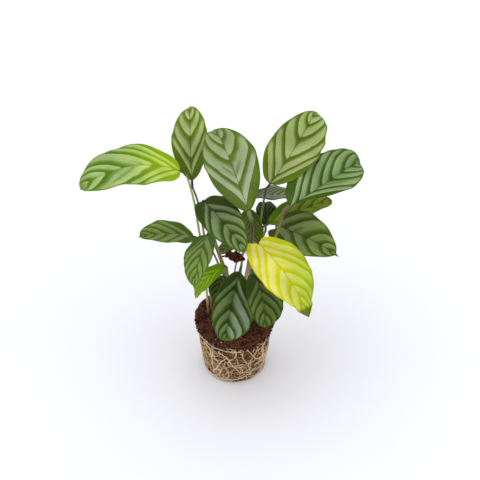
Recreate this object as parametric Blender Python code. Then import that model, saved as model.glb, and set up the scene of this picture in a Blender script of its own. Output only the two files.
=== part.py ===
"""A fishbone ctenanthe standing on its bare root ball, metres, +Z up, foot centre at the origin.

The root ball keeps the shape of the 12 cm nursery pot that it grew in. Every leaf is a thin curved
blade on its own stalk, and the stalks rise from the soil. The open side of the plant, which its
best leaves face, is -Y. Angles of headings are measured anticlockwise from +X, seen from above.
"""

import math
from dataclasses import dataclass

import bmesh
import bpy
from mathutils import Vector

MM = 0.001
GAP = 0.35 * MM  # left between a piece and the one that it touches

# Root ball, from the pot that shaped it
TOP_RADIUS = 55.0 * MM  # the lip of peat that stood above the pot's step
NECK_RADIUS = 51.0 * MM  # side wall just under the lip
FOOT_RADIUS = 43.0 * MM
BALL_HEIGHT = 91.0 * MM
LIP_HEIGHT = 14.0 * MM
SOIL_DROP = 3.0 * MM  # the soil's flat middle lies this far under the lip's crest
SOIL_LEVEL = BALL_HEIGHT - SOIL_DROP
FOOT_ROUNDING = 3.0 * MM
BALL_SEGMENTS = 48
SIDE_RINGS = 7
SIDE_LUMPS = 0.6 * MM
LIP_LUMPS = 1.3 * MM
LIP_PROFILE = (  # mm above the side wall, mm inside the lip's own radius
    (2.5, 1.2),
    (6.5, 0.0),
    (11.0, 0.5),
    (14.0, 4.0),
    (11.8, 10.0),
)
SOIL_INSET = 14.0 * MM  # from the lip's radius to the edge of the flat soil
LUMP_WAVES = (  # lumps round the side, mm of height that turn them by one radian, phase, share
    (3.0, 17.0, 0.0, 0.5),
    (7.0, -11.0, 1.3, 0.3),
    (13.0, 23.0, 0.6, 0.2),
)

# Roots that lie on the side of the root ball
ROOT_COUNT = 12
ROOT_RADIUS = 0.95 * MM
ROOT_POINTS = 12
ROOT_CLEARANCE = 0.5 * MM
ROOT_TOP = 72.0 * MM
ROOT_FOOT = 5.0 * MM
ROOT_LEAN = math.radians(16.0)
ROOT_WANDER = math.radians(5.0)
ROOT_BENDS = 1.3  # waves of the wander from top to foot
ROOT_LEAN_STEP = 2.4  # radians of the lean's own rhythm from one root to the next
ROOT_LEAN_START = 0.5
ROOT_WANDER_STEP = 1.9
ROOT_THINNING = 0.35  # of the radius, lost between top and foot

# Leaf blades
BLADE_ROWS = 12
BLADE_COLUMNS = 4
MIDRIB_STEPS = 48
MIDRIB_THICKNESS = 1.5 * MM
MARGIN_THICKNESS = 0.7 * MM
BLADE_NECK = 1.3 * MM  # half width where the blade meets its stalk
BLADE_TIP = 0.8 * MM  # half width of the drip tip
BASE_FULLNESS = 0.53  # power of the outline's sine, fuller where it is smaller
TIP_SHARPENING = 0.09  # added to it towards the tip
CURL_START = 0.75  # share of the length after which a curled tip turns down
CURL_POWER = 1.5
SHARP_EDGE = math.radians(50.0)

# Stalks
STALK_TIP_RADIUS = 1.25 * MM
STALK_FOOT_RADIUS = 1.6 * MM
STALK_POINTS = 11
PULVINUS = 9.0 * MM  # straight swollen end that turns the blade
STALK_ROOTING = 4.0 * MM  # upright stretch where a stalk leaves the soil


@dataclass(frozen=True)
class Leaf:
    """One leaf: where its blade starts, how it lies, and the way its stalk takes (mm and degrees)."""

    name: str
    base: tuple
    heading: float
    rise: float
    droop: float
    length: float
    width: float
    foot: tuple
    way: tuple
    turn: float = 0.0
    roll: float = 0.0
    twist: float = 0.0
    cup: float = 8.0
    widest: float = 0.5
    curl: float = 10.0
    stoutness: float = 1.0
    tone: str = "dark"


LEAVES = (
    Leaf("far_left_leaf", (-66, -6, 337), 197, 34, 58, 134, 66, (-37, 9),
         ((-40, 6, 166), (-45, 2, 231), (-50, -2, 283), (-54, -3, 308)),
         turn=14, roll=-20, twist=15, cup=4, widest=0.46, tone="lime"),
    Leaf("upper_left_leaf", (-53, 13, 309), 95, 54, 39, 105, 49, (-32, 13),
         ((-36, 15, 161), (-40, 18, 216), (-46, 23, 262), (-51, 16, 290)),
         turn=-4, roll=-16, twist=-5, cup=7, tone="mid"),
    Leaf("centre_leaf", (18, -35, 296), 121, 53, 15, 117, 71, (9, -3),
         ((15, -11, 163), (19, -17, 200), (22, -25, 243), (23, -30, 266)),
         roll=-8, twist=8, cup=4, widest=0.55, curl=70, stoutness=1.5, tone="mid"),
    Leaf("upper_right_leaf", (46, 28, 293), 44, 33, 0, 121, 70, (4, 8),
         ((17, 14, 141), (24, 20, 168), (32, 24, 204), (35, 26, 236), (38, 26, 265)),
         turn=17, roll=13, twist=6, cup=10, widest=0.48, curl=80, tone="light"),
    Leaf("right_leaf", (70, -10, 285), 36, 11, -4, 119, 73, (15, -4),
         ((26, -3, 156), (39, -9, 193), (51, -17, 235), (58, -18, 262)),
         roll=-12, twist=46, cup=22, widest=0.46, curl=90, stoutness=1.25, tone="mid"),
    Leaf("front_left_leaf", (-39, 6, 282), -61, 8, 37, 102, 52, (-3, 4),
         ((-5, 5, 141), (-12, 6, 167), (-23, 6, 210), (-33, 8, 248)),
         turn=9, roll=12, twist=13, cup=15, widest=0.42),
    Leaf("small_left_leaf", (-52, -7, 234), 208, 36, 32, 80, 43, (-8, 9),
         ((-10, 8, 139), (-18, 5, 167), (-30, -1, 207)),
         turn=-4, roll=-9, cup=9, widest=0.45),
    Leaf("lower_left_leaf", (-34, -12, 242), -100, 15, 60, 88, 42, (-7, 0),
         ((-8, -1, 148), (-15, -1, 176), (-24, -3, 212)),
         turn=-3, roll=19, twist=3, cup=12),
    Leaf("lime_leaf", (-12, -25, 200), 202, -15, 60, 64, 30, (-8, -7),
         ((-6, -15, 150),),
         turn=-4, roll=-4, twist=6, cup=4, widest=0.48, stoutness=0.8, tone="bright"),
    Leaf("leaf_behind_lime_leaf", (-15, -15, 174), 256, 20, 70, 46, 27, (-13, -5),
         ((-13, -7, 140),),
         cup=10, stoutness=0.8),
    Leaf("lower_centre_leaf", (7, -24, 189), -102, -11, 34, 99, 64, (0, -8),
         ((4, -16, 150),),
         turn=-2, roll=-37, twist=-4, cup=15, widest=0.6),
    Leaf("lower_right_leaf", (26, -16, 178), -68, -1, 52, 81, 55, (11, -9),
         ((19, -10, 147),),
         turn=-22, roll=-18, twist=-2, cup=14, widest=0.53),
    Leaf("yellow_leaf", (30, -50, 258), -50, -6, 39, 115, 70, (13, 2),
         ((19, 2, 145), (22, -1, 182), (28, -20, 222)),
         turn=-6, roll=5, twist=-6, cup=5, widest=0.42, tone="yellow"),
    Leaf("dark_right_leaf", (61, 6, 240), -45, 13, 18, 97, 61, (18, 7),
         ((31, 12, 134), (44, 14, 174), (54, 14, 212)),
         turn=2, roll=42, twist=-13, cup=17, widest=0.38),
    Leaf("back_leaf", (21, 80, 234), 5, 5, 15, 74, 50, (2, 17),
         ((8, 34, 140), (14, 55, 190)),
         roll=-14, cup=8, tone="mid"),
    Leaf("leaf_under_right_leaf", (46, 32, 225), 15, 22, 16, 90, 46, (11, 11),
         ((25, 22, 150), (37, 29, 195)),
         cup=14, tone="light"),
    Leaf("back_centre_leaf", (42, 42, 213), 88, 6, 20, 62, 30, (8, 16),
         ((22, 29, 140), (35, 37, 185)),
         cup=20),
    Leaf("banded_leaf", (18, 30, 251), -82, -34, 34, 60, 34, (4, 14),
         ((9, 27, 150), (16, 37, 215)),
         cup=8),
    Leaf("small_hidden_leaf", (4, 36, 192), 212, -8, 20, 34, 22, (-2, 19),
         ((0, 31, 140),),
         cup=8, stoutness=0.8),
    Leaf("dead_leaf", (-12, 13, 185), -8, 20, 60, 29, 16, (-12, 10),
         ((-13, 13, 140),),
         roll=25, twist=60, cup=30, stoutness=0.7, tone="dead"),
)

TONES = {
    "dark": (0.055, 0.115, 0.045),
    "mid": (0.160, 0.260, 0.110),
    "light": (0.210, 0.330, 0.110),
    "lime": (0.210, 0.400, 0.060),
    "bright": (0.150, 0.420, 0.020),
    "yellow": (0.640, 0.640, 0.060),
    "dead": (0.090, 0.030, 0.012),
}
STALK_COLOUR = (0.300, 0.330, 0.110)
DRY_STALK_COLOUR = (0.220, 0.110, 0.050)
SOIL_COLOUR = (0.070, 0.032, 0.018)
ROOT_COLOUR = (0.560, 0.420, 0.250)
SOIL_ROUGHNESS = 0.95
ROOT_ROUGHNESS = 0.7
LEAF_ROUGHNESS = 0.45
STALK_ROUGHNESS = 0.5


def clear_scene():
    """Leave nothing of the start-up file."""
    for thing in list(bpy.data.objects):
        bpy.data.objects.remove(thing, do_unlink=True)


def finish(name, colour, roughness):
    """A plain Principled material."""
    material = bpy.data.materials.new(name)
    material.use_nodes = True
    shader = material.node_tree.nodes["Principled BSDF"]
    shader.inputs["Base Color"].default_value = (*colour, 1.0)
    shader.inputs["Roughness"].default_value = roughness
    shader.inputs["Metallic"].default_value = 0.0
    return material


def add_object(name, data, material):
    """Link a mesh or a curve under its own name, with its material."""
    thing = bpy.data.objects.new(name, data)
    bpy.context.scene.collection.objects.link(thing)
    data.materials.append(material)
    return thing


def mesh_from(name, points, faces):
    """A smooth shaded mesh of the given points and faces, with its faces turned outwards."""
    builder = bmesh.new()
    corners = [builder.verts.new(point) for point in points]
    for face in faces:
        builder.faces.new([corners[index] for index in face])
    bmesh.ops.recalc_face_normals(builder, faces=builder.faces)
    mesh = bpy.data.meshes.new(name)
    builder.to_mesh(mesh)
    builder.free()
    mesh.shade_smooth()
    mesh.set_sharp_from_angle(angle=SHARP_EDGE)
    return mesh


def smooth_way(points, count):
    """Evenly counted points on a Catmull-Rom curve through the given ones."""
    spans = len(points) - 1
    ends = [points[0] * 2.0 - points[1], *points, points[-1] * 2.0 - points[-2]]
    found = []
    for step in range(count):
        place = spans * step / (count - 1)
        span = min(int(place), spans - 1)
        t = place - span
        a, b, c, d = ends[span : span + 4]
        bend = a * 2.0 - b * 5.0 + c * 4.0 - d
        kick = b * 3.0 - a - c * 3.0 + d
        found.append((b * 2.0 + (c - a) * t + bend * t**2 + kick * t**3) * 0.5)
    return found


def tube(name, points, radii, material):
    """A round bar along the points, closed at both ends."""
    curve = bpy.data.curves.new(name, "CURVE")
    curve.dimensions = "3D"
    curve.bevel_depth = 1.0
    curve.bevel_resolution = 1
    curve.use_fill_caps = True
    spline = curve.splines.new("POLY")
    spline.points.add(len(points) - 1)
    for knot, point, radius in zip(spline.points, points, radii):
        knot.co = (*point, 1.0)
        knot.radius = radius
    return add_object(name, curve, material)


def lumps(angle, height):
    """A smooth unevenness between about -1 and 1, the same all the way round."""
    total = 0.0
    for count, climb, phase, share in LUMP_WAVES:
        total += share * math.sin(count * angle + height / (climb * MM) + phase)
    return total


def side_radius(angle, height):
    """Radius of the root ball's side under the lip."""
    share = height / (BALL_HEIGHT - LIP_HEIGHT)
    taper = (NECK_RADIUS - FOOT_RADIUS) * share
    return FOOT_RADIUS + taper + SIDE_LUMPS * lumps(angle, height)


def ball_rings():
    """Rings of the root ball from the foot's edge to the soil's flat middle: height, radius, lumps."""
    under_lip = BALL_HEIGHT - LIP_HEIGHT
    rings = [(0.0, FOOT_RADIUS - FOOT_ROUNDING, 0.0)]
    for step in range(SIDE_RINGS):
        height = FOOT_ROUNDING + (under_lip - FOOT_ROUNDING) * step / (SIDE_RINGS - 1)
        rings.append((height, None, 0.0))
    for above, inset in LIP_PROFILE:
        rings.append((under_lip + above * MM, TOP_RADIUS - inset * MM, LIP_LUMPS))
    rings.append((SOIL_LEVEL, TOP_RADIUS - SOIL_INSET, 0.0))
    return rings


def ring_point(angle, ring):
    """A point of one ring of the root ball."""
    height, radius, unevenness = ring
    if radius is None:
        radius = side_radius(angle, height)
    radius += unevenness * lumps(angle, height)
    return (radius * math.cos(angle), radius * math.sin(angle), height)


def make_root_ball():
    """The tapered plug of peat with its overhanging lip and its flat foot."""
    rings = ball_rings()
    points = []
    for ring in rings:
        for segment in range(BALL_SEGMENTS):
            points.append(ring_point(math.tau * segment / BALL_SEGMENTS, ring))
    faces = []
    for row in range(len(rings) - 1):
        for segment in range(BALL_SEGMENTS):
            after = (segment + 1) % BALL_SEGMENTS
            low, high = row * BALL_SEGMENTS, (row + 1) * BALL_SEGMENTS
            faces.append((low + segment, low + after, high + after, high + segment))
    foot_middle, soil_middle = len(points), len(points) + 1
    points += [(0.0, 0.0, 0.0), (0.0, 0.0, SOIL_LEVEL)]
    last = (len(rings) - 1) * BALL_SEGMENTS
    for segment in range(BALL_SEGMENTS):
        after = (segment + 1) % BALL_SEGMENTS
        faces.append((foot_middle, after, segment))
        faces.append((soil_middle, last + segment, last + after))
    mesh = mesh_from("root_ball", points, faces)
    return add_object("root_ball", mesh, finish("peat", SOIL_COLOUR, SOIL_ROUGHNESS))


def root_way(number):
    """The way of one root down the side, at its clearance from the soil."""
    start = math.tau * number / ROOT_COUNT
    lean = ROOT_LEAN * math.sin(ROOT_LEAN_STEP * number + ROOT_LEAN_START)
    way = []
    for step in range(ROOT_POINTS):
        share = step / (ROOT_POINTS - 1)
        height = ROOT_TOP + (ROOT_FOOT - ROOT_TOP) * share
        wander = ROOT_WANDER * math.sin(math.tau * ROOT_BENDS * share + ROOT_WANDER_STEP * number)
        angle = start + lean * (share - 0.5) + wander
        reach = side_radius(angle, height) + ROOT_CLEARANCE + ROOT_RADIUS
        way.append(Vector((reach * math.cos(angle), reach * math.sin(angle), height)))
    return way


def make_roots():
    """The stoutest roots, spread round the side of the root ball."""
    material = finish("root", ROOT_COLOUR, ROOT_ROUGHNESS)
    shares = [step / (ROOT_POINTS - 1) for step in range(ROOT_POINTS)]
    radii = [ROOT_RADIUS * (1.0 - ROOT_THINNING * share) for share in shares]
    for number in range(ROOT_COUNT):
        tube(f"root_{number + 1:02d}", root_way(number), radii, material)


def direction(heading, rise):
    """Unit vector from a heading and a rise in degrees."""
    turn, climb = math.radians(heading), math.radians(rise)
    return Vector((math.cos(turn) * math.cos(climb), math.sin(turn) * math.cos(climb), math.sin(climb)))


def climb_at(leaf, share):
    """Rise of the midrib at a share of its length, with the tip's curl."""
    curled = max(share - CURL_START, 0.0) / (1.0 - CURL_START)
    return leaf.rise - leaf.droop * share - leaf.curl * curled**CURL_POWER


def midrib(leaf):
    """Points of the midrib at even steps."""
    place = Vector(leaf.base) * MM
    points = [place.copy()]
    for step in range(MIDRIB_STEPS):
        share = (step + 0.5) / MIDRIB_STEPS
        place += direction(leaf.heading + leaf.turn * share, climb_at(leaf, share)) * (
            leaf.length * MM / MIDRIB_STEPS
        )
        points.append(place.copy())
    return points


def half_width(leaf, share):
    """Half the blade's width at a share of its length: an ellipse with a fuller base than tip."""
    skew = math.log(0.5) / math.log(leaf.widest)
    swell = max(math.sin(math.pi * share**skew), 0.0)
    fullness = BASE_FULLNESS + TIP_SHARPENING * share
    return max(leaf.width * 0.5 * MM * swell**fullness, BLADE_TIP if share > 0.5 else BLADE_NECK)


def blade_frame(leaf, share):
    """The blade's sideways and upward directions at a share of its length."""
    heading = math.radians(leaf.heading + leaf.turn * share)
    forward = direction(leaf.heading + leaf.turn * share, climb_at(leaf, share))
    level = Vector((-math.sin(heading), math.cos(heading), 0.0))
    upright = forward.cross(level)
    roll = math.radians(leaf.roll + leaf.twist * share)
    side = level * math.cos(roll) + upright * math.sin(roll)
    return side, upright * math.cos(roll) - level * math.sin(roll)


def blade_points(leaf):
    """Rows of upper and lower points of the blade, from its stalk to its tip."""
    middle = midrib(leaf)
    cup = math.radians(leaf.cup)
    upper, lower = [], []
    for row in range(BLADE_ROWS + 1):
        share = row / BLADE_ROWS
        side, upward = blade_frame(leaf, share)
        reach = half_width(leaf, share)
        for column in range(BLADE_COLUMNS + 1):
            across = 2.0 * column / BLADE_COLUMNS - 1.0
            out = abs(across) * reach
            place = middle[round(share * MIDRIB_STEPS)] + side * across * reach * math.cos(cup)
            place += upward * out * math.sin(cup)
            thickness = MIDRIB_THICKNESS + (MARGIN_THICKNESS - MIDRIB_THICKNESS) * abs(across) ** 0.5
            upper.append(place + upward * thickness * 0.5)
            lower.append(place - upward * thickness * 0.5)
    return upper, lower


def make_blade(leaf):
    """The leaf's blade, a thin closed body."""
    upper, lower = blade_points(leaf)
    wide = BLADE_COLUMNS + 1
    under = len(upper)
    faces = []
    for row in range(BLADE_ROWS):
        for column in range(BLADE_COLUMNS):
            corner = row * wide + column
            quad = (corner, corner + 1, corner + 1 + wide, corner + wide)
            faces.append(quad)
            faces.append(tuple(under + index for index in reversed(quad)))
    rim = [row * wide for row in range(BLADE_ROWS)]
    rim += [BLADE_ROWS * wide + column for column in range(BLADE_COLUMNS)]
    rim += [row * wide + BLADE_COLUMNS for row in range(BLADE_ROWS, 0, -1)]
    rim += list(range(BLADE_COLUMNS, 0, -1))
    for here, after in zip(rim, rim[1:] + rim[:1]):
        faces.append((here, after, under + after, under + here))
    mesh = mesh_from(leaf.name, upper + lower, faces)
    return add_object(leaf.name, mesh, finish(f"{leaf.name}_skin", TONES[leaf.tone], LEAF_ROUGHNESS))


def stalk_way(leaf):
    """The stalk's way from the soil to the blade, straight where it meets the blade."""
    base = Vector(leaf.base) * MM
    forward = direction(leaf.heading, leaf.rise)
    end = base - forward * GAP
    bend = base - forward * PULVINUS
    foot = Vector((leaf.foot[0] * MM, leaf.foot[1] * MM, SOIL_LEVEL + GAP))
    root = foot + Vector((0.0, 0.0, STALK_ROOTING))
    way = smooth_way([root, *(Vector(point) * MM for point in leaf.way), bend], STALK_POINTS)
    return [foot, *way, end]


def make_stalk(leaf):
    """The leaf's stalk, stoutest at the soil."""
    way = stalk_way(leaf)
    last = len(way) - 1
    radii = []
    for step in range(last + 1):
        radius = STALK_FOOT_RADIUS + (STALK_TIP_RADIUS - STALK_FOOT_RADIUS) * step / last
        radii.append(radius * leaf.stoutness)
    colour = DRY_STALK_COLOUR if leaf.tone == "dead" else STALK_COLOUR
    material = finish(f"{leaf.name}_stalk_skin", colour, STALK_ROUGHNESS)
    return tube(f"{leaf.name}_stalk", way, radii, material)


def main():
    """Build the whole plant."""
    clear_scene()
    make_root_ball()
    make_roots()
    for leaf in LEAVES:
        make_blade(leaf)
        make_stalk(leaf)


main()
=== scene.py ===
"""The looks of a fishbone ctenanthe that stands on its bare root ball.

Every length is in metres once it is used, and is written in millimetres times MM. Leaves are laid
out by the same rules and numbers as the construction, so each fine blade takes the place of the
plain one. Headings turn anticlockwise from +X, seen from above, and the open side is -Y.
"""

import logging
import math
import random
from dataclasses import dataclass, field, replace
from enum import Enum

import bpy
import numpy as np
from bpy.types import Material, Node, NodeSocket, Object
from mathutils import Matrix, Vector, noise


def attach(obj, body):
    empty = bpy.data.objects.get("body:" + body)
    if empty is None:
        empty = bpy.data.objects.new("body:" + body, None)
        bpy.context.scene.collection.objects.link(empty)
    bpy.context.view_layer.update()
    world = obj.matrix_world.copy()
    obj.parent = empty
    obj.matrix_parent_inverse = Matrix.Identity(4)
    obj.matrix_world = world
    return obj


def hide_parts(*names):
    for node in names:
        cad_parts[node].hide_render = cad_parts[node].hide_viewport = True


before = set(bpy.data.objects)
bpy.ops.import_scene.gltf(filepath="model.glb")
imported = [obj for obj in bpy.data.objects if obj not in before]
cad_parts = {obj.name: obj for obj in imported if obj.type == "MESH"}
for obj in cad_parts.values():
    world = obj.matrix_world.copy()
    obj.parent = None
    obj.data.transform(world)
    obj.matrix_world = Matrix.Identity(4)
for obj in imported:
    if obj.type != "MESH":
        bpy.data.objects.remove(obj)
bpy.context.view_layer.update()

log = logging.getLogger("ctenanthe")

MM = 0.001
BODY = "root"

# The photograph's view, from the fit of the leaves and the root ball
VIEW_TARGET = Vector((7.5, 0.0, 223.0)) * MM
VIEW_DISTANCE = 1304.0 * MM
VIEW_ELEVATION = math.radians(39.0)
LENS_MM = 75.0
SENSOR_MM = 36.0

# Sockets of the Mix node in its colour form
MIX_FACTOR, MIX_A, MIX_B, MIX_OUT = 0, 6, 7, 2

# Refraction of plain matter and of a waxy plant skin
PLAIN_IOR = 1.5
WAXY_IOR = 1.42

# What a shader input takes: a node's first output, an output, an sRGB colour or a number
Value = Node | NodeSocket | str | float

SOIL_LEVEL = 88.0 * MM

# Size of the lumps on roots and stalks
LUMP_SIZE = 2.5 * MM

# Heights between which points over the side are kept, and roots crawl
SIDE_LOW, SIDE_HIGH = 1.2 * MM, 77.0 * MM
CRAWL_LOW, CRAWL_HIGH = 1.5 * MM, 76.0 * MM

# How far from the middle a coir fibre lies before it hangs over the lip
FIBRE_REACH = 55.5 * MM

# Height that the lamps point at, in metres
LIT_HEIGHT = 0.2

STOUT_SEED, NET_SEED, LITTER_SEED, SHEATH_SEED = 12, 7, 31, 5


def linear(code: str) -> tuple[float, float, float, float]:
    """Turn an sRGB hex colour into linear values.

    Args:
        code: The colour as "#rrggbb".

    Returns:
        Red, green, blue and an alpha of one, linear.
    """
    channels = []
    for start in (1, 3, 5):
        value = int(code[start : start + 2], 16) / 255.0
        channels.append(value / 12.92 if value <= 0.04045 else ((value + 0.055) / 1.055) ** 2.4)
    return (*channels, 1.0)


def up(height: float) -> Vector:
    """A step straight up."""
    return Vector((0.0, 0.0, height))


def add_object(name: str, data: bpy.types.ID) -> Object:
    """Put a new object with its data into the scene."""
    thing = bpy.data.objects.new(name, data)
    bpy.context.scene.collection.objects.link(thing)
    return thing


class Wiring:
    """A material while its nodes are joined."""

    def __init__(self, name: str) -> None:
        """Start with an empty material."""
        self.result = bpy.data.materials.new(name)
        self.result.use_nodes = True
        self.tree = self.result.node_tree
        self.tree.nodes.clear()

    def put(self, kind: str, links: dict | None = None, **settings) -> Node:
        """Add a node with its settings and its inputs.

        Args:
            kind: The node's type without its ShaderNode prefix.
            links: Values by the name or index of their input.
            **settings: Properties of the node itself.

        Returns:
            The new node.
        """
        node = self.tree.nodes.new(f"ShaderNode{kind}")
        for name, value in settings.items():
            setattr(node, name, value)
        for socket, value in (links or {}).items():
            if isinstance(value, Node):
                value = value.outputs[0]
            if isinstance(value, NodeSocket):
                self.tree.links.new(value, node.inputs[socket])
            else:
                node.inputs[socket].default_value = linear(value) if isinstance(value, str) else value
        return node

    def place(self) -> NodeSocket:
        """The place on the piece, in metres."""
        return self.put("TexCoord").outputs["Object"]

    def read(self, name: str) -> tuple:
        """Both values of a corner map."""
        return tuple(self.put("SeparateXYZ", {0: self.put("UVMap", uv_map=name)}).outputs)[:2]

    def maths(self, operation: str, *values: Value) -> Node:
        """One step of arithmetic."""
        return self.put("Math", dict(enumerate(values)), operation=operation)

    def ramp(
        self,
        value: Value,
        start: float,
        end: float,
        low: float = 0.0,
        high: float = 1.0,
        kind: str = "SMOOTHSTEP",
    ) -> Node:
        """Turn the range from start to end into the one from low to high, clamped."""
        links = {"Value": value, "From Min": start, "From Max": end, "To Min": low, "To Max": high}
        return self.put("MapRange", links, interpolation_type=kind)

    def blend(self, factor: Value, first: Value, second: Value) -> NodeSocket:
        """Mix two colours."""
        links = {MIX_FACTOR: factor, MIX_A: first, MIX_B: second}
        return self.put("Mix", links, data_type="RGBA").outputs[MIX_OUT]

    def stops(self, value: Value, *stops: tuple) -> Node:
        """Colours that change with a value, from pairs of a position and a colour."""
        node = self.put("ValToRGB", {0: value})
        held = node.color_ramp.elements
        for number, (position, colour) in enumerate(stops):
            element = held[number] if number < 2 else held.new(position)
            element.position = position
            element.color = linear(colour)
        return node

    def tint(self, colour: Value, value: Value) -> Node:
        """Make a colour darker or lighter by a factor."""
        return self.put("HueSaturation", {"Value": value, "Color": colour})

    def noise(self, place: Value, scale: float, detail: float = 2.0, roughness: float = 0.5) -> Node:
        """Soft spots, of one unit of the place divided by the scale."""
        links = {"Vector": place, "Scale": scale, "Detail": detail, "Roughness": roughness}
        return self.put("TexNoise", links)

    def cells(self, place: Value, scale: float) -> Node:
        """Distance from the middles of scattered cells."""
        return self.put("TexVoronoi", {"Vector": place, "Scale": scale})

    def bump(self, height: Value, strength: float, depth: float) -> Node:
        """Relief of a depth in metres."""
        return self.put("Bump", {"Height": height, "Strength": strength, "Distance": depth})

    def close(
        self,
        colour: Value,
        roughness: Value,
        specular: float,
        bump: Node | None = None,
        ior: float = PLAIN_IOR,
    ) -> Material:
        """Give the material its surface.

        Args:
            colour: Its base colour.
            roughness: Its roughness.
            specular: Level of its mirror light.
            bump: Its relief, if it has one.
            ior: Its index of refraction.

        Returns:
            The finished material.
        """
        links = {"Base Color": colour, "Roughness": roughness, "Specular IOR Level": specular, "IOR": ior}
        if bump is not None:
            links["Normal"] = bump
        self.put("OutputMaterial", {"Surface": self.put("BsdfPrincipled", links)})
        return self.result


class Wardrobe:
    """Keeps each finish's material, so that pieces of one finish share it."""

    made: dict = {}

    @classmethod
    def wear(cls, finish: "BladeFinish | StalkFinish | PeatFinish | StrandFinish") -> Material:
        """The material of a finish, made at its first use."""
        if finish.name not in cls.made:
            cls.made[finish.name] = finish.material()
        return cls.made[finish.name]


@dataclass
class Draft:
    """Points, faces and corner maps of a piece while it is built.

    A map holds one pair of numbers for each corner of each face, in the faces' order.
    """

    points: list = field(default_factory=list)
    faces: list = field(default_factory=list)
    skins: list = field(default_factory=list)
    maps: dict = field(default_factory=dict)

    def face(self, corners: tuple, skin: int = 0, **pairs) -> None:
        """Add a face with the finish's number and one list of corner pairs for each map."""
        self.faces.append(corners)
        self.skins.append(skin)
        for name, values in pairs.items():
            self.maps.setdefault(name, []).extend(values)

    def wrap(self, start: int, rows: int, sides: int, mark: float | None = None) -> None:
        """Join rings of points into a closed skin with a flat face at each end.

        Args:
            start: Number of the first point.
            rows: Steps from the first ring to the last.
            sides: Points of a ring.
            mark: Number of the whole skin in the map "strand", beside the share of the rows.
        """

        def pairs(*shares: float) -> dict:
            """Corner pairs of a face, if the skin has a mark."""
            return {} if mark is None else {"strand": [(mark, share) for share in shares]}

        for row in range(rows):
            low, high = start + row * sides, start + (row + 1) * sides
            near, far = row / rows, (row + 1) / rows
            for side in range(sides):
                after = (side + 1) % sides
                corners = (low + side, low + after, high + after, high + side)
                self.face(corners, **pairs(near, near, far, far))
        for row, share in ((0, 0.0), (rows, 1.0)):
            ring = tuple(start + row * sides + side for side in range(sides))
            self.face(ring if row else ring[::-1], **pairs(*[share] * sides))

    def tube(self, way: list, radii: list, sides: int, mark: float, uneven: float = 0.0) -> None:
        """Add a closed round bar along a way.

        Args:
            way: Points of its middle line.
            radii: Its radius at each point.
            sides: Corners of its cross-section.
            mark: A number that its whole surface carries in the first value of the map "strand".
            uneven: Share of the radius by which the surface is lumpy.
        """
        start = len(self.points)
        across = None
        last = len(way) - 1
        for index, (point, radius) in enumerate(zip(way, radii)):
            forward = (way[min(index + 1, last)] - way[max(index - 1, 0)]).normalized()
            if across is None:
                helper = up(1.0) if abs(forward.z) < 0.8 else Vector((1.0, 0.0, 0.0))
                across = forward.cross(helper).normalized()
            across = (across - forward * across.dot(forward)).normalized()
            upward = forward.cross(across)
            for side in range(sides):
                turn = math.tau * side / sides
                outward = across * math.cos(turn) + upward * math.sin(turn)
                lump = 1.0
                if uneven:
                    lump += uneven * noise.noise((point + outward * radius) * (1.0 / LUMP_SIZE))
                self.points.append(point + outward * radius * lump)
        self.wrap(start, last, sides, mark)

    def piece(self, name: str, finishes: list, slot: str, *nodes: str) -> Object:
        """Turn the draft into an object that rides on the plant.

        Args:
            name: The object's name.
            finishes: Its finishes, in the order of the faces' skins.
            slot: The record's material slot; not used.
            *nodes: The construction's nodes that it stands for.

        Returns:
            The new object.
        """
        mesh = bpy.data.meshes.new(name)
        mesh.from_pydata(self.points, [], self.faces)
        for finish in finishes:
            mesh.materials.append(Wardrobe.wear(finish))
        mesh.polygons.foreach_set("material_index", self.skins)
        for key, pairs in self.maps.items():
            layer = mesh.uv_layers.new(name=key)
            layer.uv.foreach_set("vector", np.asarray(pairs, dtype=np.float32).ravel())
        mesh.shade_smooth()
        mesh.update()
        thing = add_object(name, mesh)
        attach(thing, BODY)
        if nodes:
            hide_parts(*nodes)
        log.info("%s: %d faces", name, len(self.faces))
        return thing


def smooth_way(points: list, count: int) -> list:
    """Read evenly counted points from a Catmull-Rom curve.

    Args:
        points: The points that the curve goes through.
        count: How many points to give back.

    Returns:
        The points on the curve, from its first to its last.
    """
    spans = len(points) - 1
    ends = [points[0] * 2.0 - points[1], *points, points[-1] * 2.0 - points[-2]]
    found = []
    for step in range(count):
        place = spans * step / (count - 1)
        span = min(int(place), spans - 1)
        t = place - span
        a, b, c, d = ends[span : span + 4]
        bend = a * 2.0 - b * 5.0 + c * 4.0 - d
        kick = b * 3.0 - a - c * 3.0 + d
        found.append((b * 2.0 + (c - a) * t + bend * t**2 + kick * t**3) * 0.5)
    return found


def smooth_step(low: float, high: float, value: float) -> float:
    """Rise smoothly from 0 at low to 1 at high."""
    share = min(max((value - low) / (high - low), 0.0), 1.0)
    return share * share * (3.0 - 2.0 * share)


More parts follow.
